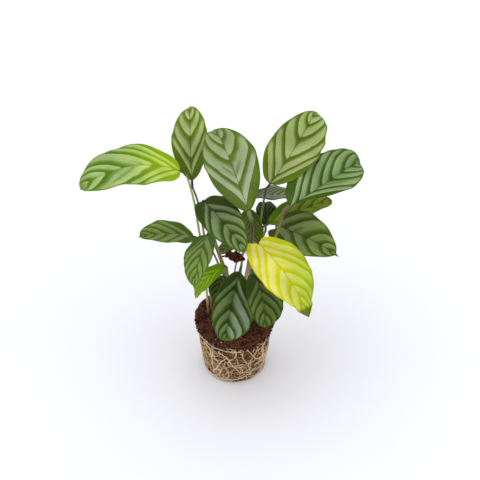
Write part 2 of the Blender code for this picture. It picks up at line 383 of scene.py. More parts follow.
@dataclass(frozen=True)
class BladeFinish:
    """The skin of a living leaf blade: a satin cuticle over pale and dark green tissue.

    The fishbone pattern lies along the side veins. Each dark band has a crisp edge towards the tip,
    fades towards the base, and runs into a green margin that is widest near the stalk. The colours
    are those of the pale tissue, the bands and the margin, each near the stalk and at the far end,
    then of the rim, the tip, the underside and its veins.
    """

    name: str
    colours: str
    rib: str = "#33451a"
    band_level: float = 0.46
    softness: float = 0.30
    zone_mm: float = 3.6
    zone_lean: float = 0.0
    base_zone: float = 2.2
    streaks: float = 0.08
    contrast: float = 1.0
    along: float = 1.0
    across: float = 0.0
    tip_from: float = 0.91
    fade_from: float = 0.2
    fade_to: float = 0.9
    roughness: float = 0.44

    def underside(self) -> "BladeFinish":
        """The same blade seen from below, matt and in its own faint colours."""
        under, vein = self.colours.split()[-2:]
        colours = " ".join((under, under, vein, vein, under, under, vein, vein, under, vein))
        return replace(self, name=f"{self.name} underside", colours=colours, contrast=0.55, roughness=0.6)

    def material(self) -> Material:
        """Build the blade's material from its three corner maps.

        blade holds the place across and along, bands the number of the dark band and the reach of
        the short one after it, and distances the millimetres from the midrib and from the margin.

        Returns:
            The material.
        """
        nodes = Wiring(self.name)
        maths, ramp, blend = nodes.maths, nodes.ramp, nodes.blend
        pale, pale_far, band, band_far, edge, edge_far, rim, tip, _, _ = self.colours.split()
        place = nodes.place()
        across, along = nodes.read("blade")
        number, short_reach = nodes.read("bands")
        from_rib, from_margin = nodes.read("distances")
        side = maths("ABSOLUTE", across)

        # Fine veins, about nine to a band, run along the bands and fray their edges
        lines = maths("MULTIPLY", number, 9.0)
        reach = maths("MULTIPLY", side, 1.5)
        streak = nodes.noise(nodes.put("CombineXYZ", {0: lines, 1: reach, 2: along}), 1.0, 3.0, 0.62)

        # Bands wander by a tenth of their spacing over about 10 mm
        drift = maths("MULTIPLY_ADD", nodes.noise(place, 95.0, 1.0), 0.14, -0.07 - 0.5 * self.streaks)
        turn = maths("FRACT", maths("ADD", number, maths("MULTIPLY_ADD", streak, self.streaks, drift)))
        tip_side = maths("MULTIPLY_ADD", turn, -1.0 / 0.28, 1.0)
        base_side = maths("MULTIPLY_ADD", turn, 1.0 / 0.48, -0.52 / 0.48)
        near_rib = ramp(from_rib, 0.0, 3.5, 0.2, 0.0, "LINEAR")
        zone = ramp(along, 0.0, 0.55, self.zone_mm * self.base_zone, self.zone_mm)
        zone = maths("MULTIPLY", zone, maths("MULTIPLY_ADD", across, self.zone_lean, 1.0))
        margin = ramp(maths("DIVIDE", from_margin, zone), 0.0, 1.0, 1.0, 0.0, "LINEAR")
        level = maths("MULTIPLY_ADD", margin, 0.45, near_rib)
        level = maths("ADD", level, maths("MAXIMUM", tip_side, base_side))
        half = self.softness * 0.5
        dark = ramp(level, self.band_level - half, self.band_level + half)
        core = maths("MAXIMUM", ramp(turn, 0.80, 0.97), ramp(turn, 0.17, 0.21, 1.0, 0.0))

        # The short bands lie half-way between two long ones and end inside the blade
        short = ramp(maths("ABSOLUTE", maths("SUBTRACT", turn, 0.5)), 0.01, 0.13, 1.0, 0.0)
        past_reach = maths("SUBTRACT", side, short_reach)
        short = maths("MULTIPLY", short, ramp(past_reach, -0.22, 0.0, 0.85, 0.0))
        dark = maths("MULTIPLY", maths("MAXIMUM", dark, short), self.contrast)

        # Colour drifts from the stalk's end to the far end, and from one half of the blade to the other
        # where a finish sets across; on one deep green finish that drift across is painted sheen, a lighter
        # grey half where light reflects. Colour turns greener towards the margin
        drifted = maths("MULTIPLY_ADD", across, self.across, maths("MULTIPLY", along, self.along))
        far = ramp(drifted, self.fade_from, self.fade_to)
        pale, band = blend(far, pale, pale_far), blend(far, band, band_far)
        edge = blend(far, edge, edge_far)
        soft = blend(0.28, band, pale)
        tissue = blend(ramp(margin, 0.15, 0.85), blend(core, soft, band), edge)
        pale = blend(ramp(turn, 0.18, 0.78, 0.0, 0.30), pale, soft)
        pale = blend(ramp(margin, 0.1, 0.9, 0.0, 0.62), pale, edge)
        pale = blend(ramp(streak, 0.45, 0.8, 0.0, 0.22), pale, tissue)
        finer = maths("MULTIPLY", lines, 2.6)
        thin = nodes.noise(nodes.put("CombineXYZ", {0: finer, 1: reach, 2: 4.0}), 1.0)
        pale = blend(ramp(thin, 0.56, 0.68, 0.0, 0.26), pale, tissue)
        mixed = blend(dark, pale, tissue)

        # The outline is a lighter line of half a millimetre, the midrib a dark one just as wide
        mixed = blend(ramp(from_margin, 0.5, 2.0, 0.85, 0.0), mixed, edge)
        mixed = blend(ramp(from_margin, 0.3, 0.9, 0.6, 0.0), mixed, rim)
        mixed = blend(ramp(from_rib, 0.2, 0.6, 0.72, 0.0), mixed, self.rib)
        mixed = blend(ramp(along, self.tip_from, self.tip_from + 0.055, 0.0, 0.8), mixed, tip)
        cloud = nodes.noise(place, 38.0)
        mixed = nodes.tint(mixed, ramp(cloud, 0.3, 0.7, 0.88, 1.1))

        # Cuticle: cells of about half a millimetre and the fine veins stand up by a tenth of one
        relief = maths("MULTIPLY_ADD", nodes.cells(place, 1700.0), 0.25, streak)
        gloss = ramp(cloud, 0.0, 1.0, self.roughness - 0.06, self.roughness + 0.08, "LINEAR")
        return nodes.close(mixed, gloss, 0.1, nodes.bump(relief, 0.4, 0.3 * MM), WAXY_IOR)


class Skin(Enum):
    """The blades' finishes, by how they look."""

    SILVER = BladeFinish(
        "silver sage leaf",
        "#a5b48e #98aa76 #566e24 #546c1c #4c6814 #4e6a10 #667c28 #5d7430 #8c7f7c #6f5f64",
        band_level=0.50, zone_mm=5.0, zone_lean=-0.6, base_zone=1.2,
    )
    UPRIGHT = BladeFinish(
        "upright silver leaf",
        "#99a96e #aabc78 #4e640c #60780a #4a6406 #668006 #6f8e14 #7d8a30 #8c7f7c #6f5f64",
        band_level=0.38, zone_mm=5.4, base_zone=1.5,
    )
    LIGHT = BladeFinish(
        "light sage leaf",
        "#acb778 #9eae6a #556c0c #486808 #627e04 #527004 #768e0a #6f8428 #948a78 #75695f",
        band_level=0.52, zone_mm=4.6, zone_lean=0.35, base_zone=1.5,
    )
    FRESH = BladeFinish(
        "fresh green leaf",
        "#93a774 #8ca26c #385608 #3f6008 #2f5000 #446800 #587a0c #4a6818 #877b76 #6b5d5f",
        band_level=0.48, base_zone=1.2,
    )
    LIME = BladeFinish(
        "young lime leaf",
        "#bed65a #a4b974 #86a800 #4e7600 #93b600 #628800 #86a40c #6b8230 #a9b070 #8b9150",
        rib="#5f7c14", zone_mm=2.6, zone_lean=0.3, base_zone=1.2, fade_from=0.1, fade_to=0.62,
        roughness=0.4,
    )
    BRIGHT = BladeFinish(
        "newest bright leaf",
        "#98ba20 #8ab01a #669400 #608e00 #669800 #609000 #86b008 #769c08 #9bab52 #7f9138",
        rib="#55780a", band_level=0.5, zone_mm=2.0, contrast=0.9,
    )
    YELLOW = BladeFinish(
        "ageing yellow leaf",
        "#dcda78 #b4c644 #cfc800 #8fa800 #cacd06 #86a400 #b2be0c #46560c #c9c86a #b0ad4a",
        rib="#949a30", zone_mm=3.2, zone_lean=0.35, base_zone=1.0, tip_from=0.87, along=0.62, across=0.30,
        fade_from=0.0, fade_to=0.75,
    )
    DUSK = BladeFinish(
        "dark silver leaf",
        "#7a8c64 #7e915c #304408 #385400 #335200 #386000 #4a6e08 #466210 #756a6d #5c4f55",
        rib="#24340e", zone_mm=4.6, zone_lean=-0.2, base_zone=1.6,
    )
    MOSS = BladeFinish(
        "mossy green leaf",
        "#869a5e #879c58 #4c680c #4c6c08 #497006 #4e7806 #6a9010 #5a7820 #6c6165 #54484e",
        rib="#38500c", band_level=0.48, base_zone=1.7,
    )
    DARK = BladeFinish(
        "dark green leaf",
        "#768755 #7f924c #3c520e #3f5a08 #3c6000 #426a00 #608212 #55701e #6c6165 #54484e",
        rib="#2c3e10", band_level=0.48, zone_mm=4.0, base_zone=1.0,
    )
    DEEP = BladeFinish(
        "deep green leaf",
        "#61713f #6b7d40 #2c4204 #324c02 #345400 #3c6200 #4e7608 #48640c #655a5f #4d4248",
        rib="#22340a", zone_mm=4.2, base_zone=1.6,
    )
    # Painted sheen: a deep green leaf whose pale tissue lightens to grey-green across the blade towards one
    # half, standing in for light reflected off it
    PAINTED_SHEEN = BladeFinish(
        "deep green leaf with painted sheen",
        "#687c4a #8a9c84 #2a4004 #3a5410 #325200 #3c6200 #4e7608 #48640c #655a5f #4d4248",
        rib="#22340a", base_zone=1.5, along=0.0, across=1.0, fade_from=-0.05, fade_to=0.3, roughness=0.38,
    )
    VEINED = BladeFinish(
        "grey veined leaf",
        "#828d6c #7b8664 #434f2c #414c24 #57681e #5f7020 #6c7c26 #57681e #756a6d #5c4f55",
        rib="#5c5648", band_level=0.5, base_zone=1.0,
    )
    RUSTY = BladeFinish(
        "rusty green leaf",
        "#86a02e #829c2a #557206 #5f6410 #568200 #5c8400 #74940c #5d6a16 #8a7468 #6b5148",
        rib="#5a5a14", band_level=0.56, zone_mm=4.4,
    )
    BARRED = BladeFinish(
        "narrow barred leaf",
        "#6a7c2e #62762a #2c4204 #2f4604 #456800 #4a7000 #6a8c10 #4a6808 #655a5f #4d4248",
        rib="#2c4010", band_level=0.40, zone_mm=2.6, base_zone=1.0, contrast=0.6,
    )
    SHADED = BladeFinish(
        "shaded leaf",
        "#45602a #4a672b #253b08 #2a4405 #2c4a02 #335602 #426806 #3c580a #554c50 #40373c",
        rib="#1c2d08", band_level=0.44, zone_mm=4.0,
    )


@dataclass(frozen=True)
class StalkFinish:
    """The skin of a leaf stalk: smooth, ribbed along its length, and coloured from foot to neck."""

    name: str
    foot: str
    middle: str
    neck: str
    joint: str
    roughness: float = 0.4

    def material(self) -> Material:
        """Build the stalk's material. The map "strand" holds the share of the length."""
        nodes = Wiring(self.name)
        stops = [(0.0, self.foot), (0.25, self.foot), (0.5, self.middle), (0.85, self.neck)]
        colour = nodes.stops(nodes.read("strand")[1], *stops, (0.965, self.joint))

        # Vascular ribs under half a millimetre apart, stretched along the stalk
        stretched = nodes.put("Mapping", {"Vector": nodes.place(), "Scale": (1.0, 1.0, 0.12)})
        ribs = nodes.noise(stretched, 1500.0)
        colour = nodes.tint(colour, nodes.ramp(ribs, 0.3, 0.7, 0.78, 1.14, "LINEAR"))
        return nodes.close(colour, self.roughness, 0.45, nodes.bump(ribs, 0.3, 0.3 * MM), WAXY_IOR)


class StalkSkin(Enum):
    """The stalks' finishes, by the colour of their necks."""

    LIME = StalkFinish("lime stalk", "#c0b27c", "#b3b860", "#a6b24c", "#4c4a20")
    PURPLE = StalkFinish("purple necked stalk", "#b0a264", "#98a23a", "#5f4a36", "#4d3640")
    VIOLET = StalkFinish("violet stalk", "#a0945e", "#8a7c4c", "#5a4340", "#4a3340")
    BROWN = StalkFinish("brown stalk", "#c0a67c", "#6b5028", "#4c3516", "#687c48")
    OLIVE = StalkFinish("olive stalk", "#b3a878", "#94905a", "#747240", "#4e5c2a")
    PINK = StalkFinish("pinkish stalk", "#c4ac84", "#9aa23e", "#78604a", "#6f5844")
    DRY = StalkFinish("dry stalk", "#5a3a22", "#4c2c18", "#3d2010", "#2e160c", 0.8)


# Bands of a leaf that shows too little to be measured, in percent of the midrib
COMMON_LEFT = (2, 24, 46, 66, 83)
COMMON_RIGHT = (0, 20, 42, 64, 82)
CLOSE_BANDS = (0, 13, 26, 39, 52, 65, 78, 90)


@dataclass(frozen=True)
class Leaf:
    """One leaf: its place and shape as in the construction (mm and degrees), then its looks.

    left and right are the percents of the midrib where dark bands start, on the sides that lie left
    and right of its heading. short_left and short_right give, by the number of the band before it,
    how far across the blade a short band reaches. drip is the length of the small point at the tip,
    lobes how far the base bulges back at the left and the right, a lower power makes an end fuller,
    and scallop is the share of the width by which the margin bulges between two bands, left and right.
    """

    name: str
    base: tuple
    heading: float
    rise: float
    droop: float
    length: float
    width: float
    foot: tuple
    way: tuple
    turn: float = 0.0
    roll: float = 0.0
    twist: float = 0.0
    cup: float = 8.0
    widest: float = 0.5
    curl: float = 10.0
    stoutness: float = 1.0
    skin: Skin = Skin.DARK
    stalk: StalkSkin = StalkSkin.OLIVE
    slot: str = "leaf_dark"
    left: tuple = COMMON_LEFT
    right: tuple = COMMON_RIGHT
    short_left: dict = field(default_factory=dict)
    short_right: dict = field(default_factory=dict)
    wave: float = 1.1
    waves: float = 2.6
    drip: float = 3.0
    drip_width: float = 4.6
    lobes: tuple = (1.0, 1.0)
    base_power: float = 0.53
    tip_power: tuple = (0.62, 0.62)
    fullness: tuple = (1.0, 1.0)
    lean: tuple = (0.0, 0.0)
    scallop: tuple = (0.012, 0.012)
    joint: float = 9.0
    stalk_swell: float = 1.0

    def bands(self, left: bool) -> list:
        """Shares of the midrib where the dark bands of one side start."""
        return [start / 100.0 for start in (self.left if left else self.right)]


LEAVES = (
    Leaf("far_left_leaf", (-66, -6, 337), 197, 34, 58, 134, 66, (-37, 9),
         ((-40, 6, 166), (-45, 2, 231), (-50, -2, 283), (-54, -3, 308)), turn=14, roll=-20, twist=15, cup=4,
         widest=0.46, skin=Skin.LIME, stalk=StalkSkin.LIME, slot="leaf_lime", left=(-20, 2, 20, 70, 88),
         right=(-16, 5, 21, 55, 70, 86), short_left={2: 0.85}, short_right={2: 0.25}, wave=1.8, drip=1.2,
         tip_power=(0.44, 0.44)),
    Leaf("upper_left_leaf", (-53, 13, 309), 95, 54, 39, 105, 49, (-32, 13),
         ((-36, 15, 161), (-40, 18, 216), (-46, 23, 262), (-51, 16, 290)), turn=-4, roll=-16, twist=-5,
         cup=7, skin=Skin.UPRIGHT, stalk=StalkSkin.VIOLET, slot="leaf_silver", left=(0, 21, 49, 74, 90),
         right=(0, 20, 49, 74, 90), wave=0.8, drip=2.5, base_power=0.66, tip_power=(0.56, 0.56)),
    Leaf("centre_leaf", (18, -35, 296), 121, 53, 15, 117, 71, (9, -3),
         ((15, -11, 163), (19, -17, 200), (22, -25, 243), (23, -30, 266)), roll=-8, twist=8, cup=4,
         widest=0.55, curl=70, stoutness=1.5, skin=Skin.SILVER, stalk=StalkSkin.BROWN, slot="leaf_silver",
         left=(2, 25, 54, 73, 88), right=(2, 27, 58, 80, 92), short_left={1: 0.5}, short_right={1: 0.45},
         wave=1.2, drip=0.8, base_power=0.62, scallop=(0.02, 0.01), stalk_swell=1.1),
    Leaf("upper_right_leaf", (46, 28, 293), 44, 33, 0, 121, 70, (4, 8),
         ((17, 14, 141), (24, 20, 168), (32, 24, 204), (35, 26, 236), (38, 26, 265)), turn=17, roll=13,
         twist=6, cup=10, widest=0.48, curl=60, lean=(-0.06, 0.0), fullness=(0.94, 1.0), skin=Skin.LIGHT,
         stalk=StalkSkin.PURPLE, slot="leaf_light", left=(-22, 4, 27, 56, 77, 90),
         right=(-12, 8, 31, 58, 76, 90), wave=1.5, drip=0.8, base_power=0.64, tip_power=(0.74, 0.5),
         scallop=(0.0, 0.03)),
    Leaf("right_leaf", (70, -10, 285), 36, 11, -4, 119, 73, (15, -4),
         ((26, -3, 156), (39, -9, 193), (51, -17, 235), (58, -18, 262)), roll=-12, twist=46, cup=22,
         widest=0.46, curl=45, stoutness=1.25, fullness=(1.1, 0.97), lean=(-0.04, 0.1), skin=Skin.FRESH,
         stalk=StalkSkin.PINK, slot="leaf_silver", left=(-6, 10, 25, 43, 56, 75, 90),
         right=(5, 30, 56, 71, 86), short_right={1: 0.7}, wave=1.0, drip=0.2, base_power=0.82,
         tip_power=(0.42, 0.56), scallop=(0.012, 0.01), lobes=(0.0, 0.0), stalk_swell=1.25),
    Leaf("front_left_leaf", (-39, 6, 282), -61, 8, 37, 102, 52, (-3, 4),
         ((-5, 5, 141), (-12, 6, 167), (-23, 6, 210), (-33, 8, 248)), turn=9, roll=12, twist=13, cup=15,
         widest=0.42, skin=Skin.DUSK, left=(5, 25, 50, 67, 82), right=(0, 17, 49, 67, 82), joint=4.0),
    Leaf("small_left_leaf", (-52, -7, 234), 208, 36, 32, 80, 43, (-8, 9),
         ((-10, 8, 139), (-18, 5, 167), (-30, -1, 207)), turn=-4, roll=-9, cup=9, widest=0.45,
         skin=Skin.MOSS, left=(0, 25, 50, 72, 88), right=(5, 30, 55, 78, 90), wave=0.9, drip=1.5,
         tip_power=(0.5, 0.5)),
    Leaf("lower_left_leaf", (-34, -12, 242), -100, 15, 60, 88, 42, (-7, 0),
         ((-8, -1, 148), (-15, -1, 176), (-24, -3, 212)), turn=-3, roll=19, twist=3, cup=12, skin=Skin.MOSS,
         left=(2, 33, 55, 75, 90), right=(2, 12, 30, 48, 66, 82), wave=0.9),
    Leaf("lime_leaf", (-12, -25, 200), 202, -15, 60, 64, 30, (-8, -7), ((-6, -15, 150),), turn=-4, roll=-4,
         twist=6, cup=4, widest=0.48, stoutness=0.8, joint=3.0, skin=Skin.BRIGHT, stalk=StalkSkin.LIME,
         slot="leaf_bright", left=(5, 25, 45, 65, 82), right=(10, 30, 50, 70, 85), wave=0.8, drip=1.5,
         scallop=(0.04, 0.04)),
    Leaf("leaf_behind_lime_leaf", (-15, -15, 174), 256, 20, 70, 46, 27, (-13, -5), ((-13, -7, 140),),
         cup=10, stoutness=0.8, skin=Skin.DEEP, wave=0.5),
    Leaf("lower_centre_leaf", (7, -24, 189), -102, -11, 34, 99, 64, (0, -8), ((4, -16, 150),), turn=-2,
         roll=-37, twist=-4, cup=15, widest=0.6, skin=Skin.PAINTED_SHEEN, left=(5, 25, 55, 75, 90),
         right=(2, 22, 53, 72, 86), short_right={1: 0.35}, tip_power=(0.48, 0.48), drip=2.0,
         scallop=(0.02, 0.02)),
    Leaf("lower_right_leaf", (26, -16, 178), -68, -1, 52, 81, 55, (11, -9), ((19, -10, 147),), turn=-22,
         roll=-18, twist=-2, cup=14, widest=0.53, skin=Skin.DEEP, left=(15, 35, 55, 75, 90),
         right=(10, 30, 50, 70, 86), tip_power=(0.54, 0.54)),
    Leaf("yellow_leaf", (30, -50, 258), -50, -6, 39, 115, 70, (13, 2),
         ((19, 2, 145), (22, -1, 182), (28, -20, 222)), turn=-6, roll=5, twist=-6, cup=5, widest=0.42,
         skin=Skin.YELLOW, stalk=StalkSkin.LIME, slot="leaf_yellow", left=(-25, 3, 18, 42, 60, 74, 88),
         right=(-32, -6, 11, 36, 58, 80), short_left={2: 0.4}, drip=9.0, drip_width=24.0, lobes=(5.0, 9.0)),
    Leaf("dark_right_leaf", (61, 6, 240), -45, 13, 18, 97, 61, (18, 7),
         ((31, 12, 134), (44, 14, 174), (54, 14, 212)), turn=2, roll=42, twist=-13, cup=17, widest=0.38,
         skin=Skin.DARK, left=(-28, 3, 44, 67, 84), right=(-10, 18, 42, 69, 86), short_left={1: 0.45},
         drip=5.0, scallop=(0.02, 0.01), lobes=(4.0, 16.0)),
    Leaf("back_leaf", (21, 80, 234), 5, 5, 15, 74, 50, (2, 17), ((8, 34, 140), (14, 55, 190)), roll=-14,
         cup=8, skin=Skin.VEINED, slot="leaf_silver", left=CLOSE_BANDS, right=CLOSE_BANDS),
    Leaf("leaf_under_right_leaf", (46, 32, 225), 15, 22, 16, 90, 46, (11, 11),
         ((25, 22, 150), (37, 29, 195)), cup=14, skin=Skin.RUSTY, slot="leaf_light", drip=0.5,
         tip_power=(0.5, 0.5)),
    Leaf("back_centre_leaf", (42, 42, 213), 88, 6, 20, 62, 30, (8, 16), ((22, 29, 140), (35, 37, 185)),
         cup=20, skin=Skin.SHADED),
    Leaf("banded_leaf", (18, 30, 251), -82, -34, 34, 60, 34, (4, 14), ((9, 27, 150), (16, 37, 215)), cup=8,
         skin=Skin.BARRED, left=CLOSE_BANDS, right=CLOSE_BANDS, wave=0.6),
    Leaf("small_hidden_leaf", (4, 36, 192), 212, -8, 20, 34, 22, (-2, 19), ((0, 31, 140),), cup=8,
         stoutness=0.8, skin=Skin.DARK, wave=0.5),
)

DEAD_LEAF = Leaf(
    "dead_leaf", (-12, 13, 185), -8, 20, 60, 29, 16, (-12, 10), ((-13, 13, 140),),
    roll=25, twist=60, cup=30, stoutness=0.7, stalk=StalkSkin.DRY, slot="leaf_dead", wave=2.0, drip=2.0,
)


def direction(heading: float, rise: float) -> Vector:
    """Unit vector of a heading and a rise in degrees."""
    turn, climb = math.radians(heading), math.radians(rise)
    return Vector((math.cos(turn) * math.cos(climb), math.sin(turn) * math.cos(climb), math.sin(climb)))


@dataclass
class Blade:
    """A leaf's blade: a thin sheet with pleats along its side veins and a groove along its midrib."""

    leaf: Leaf
    rows: int = 84
    columns: int = 36
    steps: int = 192
    neck: float = 1.3 * MM
    tip: float = 0.25 * MM
    midrib_thickness: float = 1.1 * MM
    sheet_thickness: float = 0.55 * MM
    margin_thickness: float = 0.22 * MM
    groove: float = 0.45 * MM
    pleat: float = 0.75 * MM
    arch: float = 0.4
    sweep: float = 0.5
    sweep_power: float = 1.12
    curl_start: float = 0.75
    even_rows: float = 0.55
    crowding: float = 1.15
    lobe_reach: float = 12.0 * MM
    rib_reach: float = 1.1 * MM

    def climb(self, share: float) -> float:
        """Rise of the midrib in degrees at a share of its length."""
        curled = max(share - self.curl_start, 0.0) / (1.0 - self.curl_start)
        return self.leaf.rise - self.leaf.droop * share - self.leaf.curl * curled**1.5

    def midrib(self) -> list:
        """Points of the midrib at even steps."""
        place = Vector(self.leaf.base) * MM
        points = [place.copy()]
        for step in range(self.steps):
            share = (step + 0.5) / self.steps
            forward = direction(self.leaf.heading + self.leaf.turn * share, self.climb(share))
            place += forward * (self.leaf.length * MM / self.steps)
            points.append(place.copy())
        return points

    def half_width(self, share: float, hand: int) -> float:
        """Width of the left (0) or right (1) half at a share of the length, with a drip tip."""
        leaf = self.leaf
        body_end = 1.0 - leaf.drip / leaf.length
        skew = math.log(0.5) / math.log(leaf.widest + leaf.lean[hand])
        inner = min(share / body_end, 1.0)
        swell = max(math.sin(math.pi * inner**skew), 0.0)
        power = leaf.base_power + (leaf.tip_power[hand] - leaf.base_power) * inner
        body = leaf.width * 0.5 * leaf.fullness[hand] * MM * swell**power
        if share < 0.5:
            return max(body, self.neck)
        spike = leaf.drip_width * 0.5 * MM * min((1.0 - share) / (1.0 - body_end + 0.03), 1.0)
        return max(body, spike, self.tip)

    def frame(self, share: float) -> tuple:
        """Forward, sideways and upward directions of the blade at a share of its length."""
        leaf = self.leaf
        heading = math.radians(leaf.heading + leaf.turn * share)
        forward = direction(leaf.heading + leaf.turn * share, self.climb(share))
        level = Vector((-math.sin(heading), math.cos(heading), 0.0))
        upright = forward.cross(level)
        roll = math.radians(leaf.roll + leaf.twist * share)
        side = level * math.cos(roll) + upright * math.sin(roll)
        return forward, side, upright * math.cos(roll) - level * math.sin(roll)

    def band_start(self, share: float, out: float) -> float:
        """Share of the midrib where the side vein through a point starts."""
        pull = self.sweep * out**self.sweep_power
        root = (pull + math.sqrt(pull * pull + 4.0 * (1.0 - share))) * 0.5
        return 1.0 - root * root

    def band_number(self, share: float, out: float, starts: list) -> float:
        """Number of the dark band at a point, with fractions between two bands."""
        at = self.band_start(share, out)
        if at < starts[0]:
            return max((at - starts[0]) / (starts[1] - starts[0]), -0.06)
        last = len(starts) - 1
        if at > starts[last]:
            return last + (at - starts[last]) / (starts[last] - starts[last - 1])
        return float(np.interp(at, starts, range(len(starts))))

    def relief(self, share: float, across: float, reach: float) -> float:
        """Height of the sheet over its plain form: pleats, arch and a waving margin."""
        leaf = self.leaf
        out = abs(across)
        number = self.band_number(share, out, leaf.bands(across >= 0.0))
        fold = math.sin(math.pi * min(out * 1.05, 1.0)) * smooth_step(1.0, 0.9, share)
        height = -self.pleat * math.cos(math.tau * number) * fold
        rounded = self.arch * out * (1.0 - out)
        height += reach * math.sin(math.radians(leaf.cup)) * (out + rounded)
        side = 1.7 if across > 0.0 else 0.0
        swing = math.sin(math.tau * leaf.waves * share + side + leaf.length)
        height += leaf.wave * MM * out**3 * swing * smooth_step(0.0, 0.15, share)
        return height

    def points(self) -> tuple:
        """Upper and lower points of the sheet with the corner values of each.

        Returns:
            The upper points, the lower points, and for each of them its across, along, reach.
        """
        middle = self.midrib()
        leaf = self.leaf
        flat = math.cos(math.radians(leaf.cup))
        upper, lower, marks = [], [], []
        for row in range(self.rows + 1):
            even = row / self.rows
            crowded = 0.5 - 0.5 * math.cos(math.pi * even)
            share = self.even_rows * even + (1.0 - self.even_rows) * crowded
            forward, side, upward = self.frame(share)
            reaches = [self.half_width(share, hand) for hand in (0, 1)]
            place = share * self.steps
            index = min(int(place), self.steps - 1)
            core = middle[index].lerp(middle[index + 1], place - index)
            for column in range(self.columns + 1):
                across = 2.0 * column / self.columns - 1.0
                across = math.copysign(abs(across) ** self.crowding, across)
                hand = 0 if across >= 0.0 else 1
                reach = reaches[hand]
                number = self.band_number(share, 1.0, leaf.bands(hand == 0))
                bulge = math.cos(math.tau * number) * smooth_step(0.1, 0.3, share)
                wide = reach * (1.0 - leaf.scallop[hand] * bulge * abs(across) ** 2)
                out = abs(across) * wide
                spot = core + side * across * wide * flat
                spot += upward * self.relief(share, across, wide)
                back = leaf.lobes[hand] * MM * math.sin(min(out / self.lobe_reach, 1.0) * math.pi * 0.5) ** 2
                spot -= forward * back * smooth_step(0.2, 0.0, share)
                thick = self.sheet_thickness
                thick += (self.margin_thickness - thick) * abs(across) ** 3
                rib = math.exp(-((out / self.rib_reach) ** 2)) * smooth_step(1.0, 0.8, share)
                upper.append(spot + upward * (thick * 0.5 - self.groove * rib))
                lower.append(spot - upward * (thick * 0.5 + (self.midrib_thickness - thick) * rib))
                marks.append((across, share, reach))
        return upper, lower, marks

    def corner(self, mark: tuple, left: bool) -> tuple:
        """The three map values of one corner, read on the left or the right of the midrib."""
        across, share, reach = mark
        leaf = self.leaf
        out = abs(across)
        number = self.band_number(share, out, leaf.bands(left))
        short = (leaf.short_left if left else leaf.short_right).get(math.floor(number), 0.0)
        return (across, share), (number, short), (out * reach / MM, (1.0 - out) * reach / MM)

    def draft(self) -> Draft:
        """The closed sheet, its upper faces with skin 0 and the rest with skin 1."""
        upper, lower, marks = self.points()
        draft = Draft(points=upper + lower)
        wide = self.columns + 1
        under = len(upper)
        half = self.columns // 2
        sides = {left: [self.corner(mark, left) for mark in marks] for left in (True, False)}

        def maps(corners: tuple, left: bool) -> dict:
            """Corner pairs of a face by map."""
            read = [sides[left][index % under] for index in corners]
            return dict(zip(("blade", "bands", "distances"), zip(*read)))

        for row in range(self.rows):
            for column in range(self.columns):
                corner = row * wide + column
                quad = (corner, corner + wide, corner + 1 + wide, corner + 1)
                left = column >= half
                draft.face(quad[::-1], 0, **maps(quad[::-1], left))
                down = tuple(under + index for index in quad)
                draft.face(down, 1, **maps(down, left))
        rim = [row * wide for row in range(self.rows)]
        rim += [self.rows * wide + column for column in range(self.columns)]
        rim += [row * wide + self.columns for row in range(self.rows, 0, -1)]
        rim += list(range(self.columns, 0, -1))
        for here, after in zip(rim, rim[1:] + rim[:1]):
            quad = (here, after, under + after, under + here)
            draft.face(quad, 1, **maps(quad, marks[here][0] + marks[after][0] > 0.0))
        return draft

    def build(self) -> None:
        """Make the blade in the place of its plain node."""
        leaf, finish = self.leaf, self.leaf.skin.value
        self.draft().piece(f"{leaf.name}_blade", [finish, finish.underside()], leaf.slot, leaf.name)


@dataclass
class Stalk:
    """A leaf's stalk, from the soil to the swollen joint that turns the blade."""

    leaf: Leaf
    buried: float = 9.0 * MM
    gap: float = 0.35 * MM
    rooting: float = 4.0 * MM
    overlap: float = 2.0 * MM
    full_joint: float = 9.0
    joint_swell: float = 1.3
    end_taper: float = 0.35
    foot_radius: float = 1.6 * MM
    tip_radius: float = 1.25 * MM
    count: int = 64
    sides: int = 12

    def way(self) -> list:
        """Points of the stalk's middle line, from under the soil to just under the blade."""
        leaf = self.leaf
        base = Vector(leaf.base) * MM
        forward = direction(leaf.heading, leaf.rise)
        foot = Vector((leaf.foot[0] * MM, leaf.foot[1] * MM, SOIL_LEVEL + self.gap))
        bend = base - forward * leaf.joint * MM - up(0.8 * (self.full_joint - leaf.joint)) * MM
        bends = [Vector(point) * MM for point in leaf.way]
        curve = smooth_way([foot + up(self.rooting), *bends, bend], self.count)
        end = base - forward * self.gap
        joint = [bend.lerp(end, 0.35), bend.lerp(end, 0.7), end, base + forward * self.overlap]
        return [foot - up(self.buried), foot, *curve, *joint]

    def radii(self, count: int) -> list:
        """Radius at each point: stout at the soil, swollen at the joint, tapered under the blade."""
        found = []
        for index in range(count):
            radius = self.foot_radius + (self.tip_radius - self.foot_radius) * (index / (count - 1))
            if index >= count - 6:
                radius *= self.joint_swell
            if index == count - 1:
                radius *= self.end_taper
            found.append(radius * self.leaf.stoutness * self.leaf.stalk_swell)
        return found

    def build(self) -> None:
        """Make the stalk in the place of its plain node."""
        leaf, way, draft = self.leaf, self.way(), Draft()
        draft.tube(way, self.radii(len(way)), self.sides, 0.5, uneven=0.05)
        slot = "dry_stalk" if leaf.stalk is StalkSkin.DRY else "stalk"
        draft.piece(f"{leaf.name}_petiole", [leaf.stalk.value], slot, f"{leaf.name}_stalk")


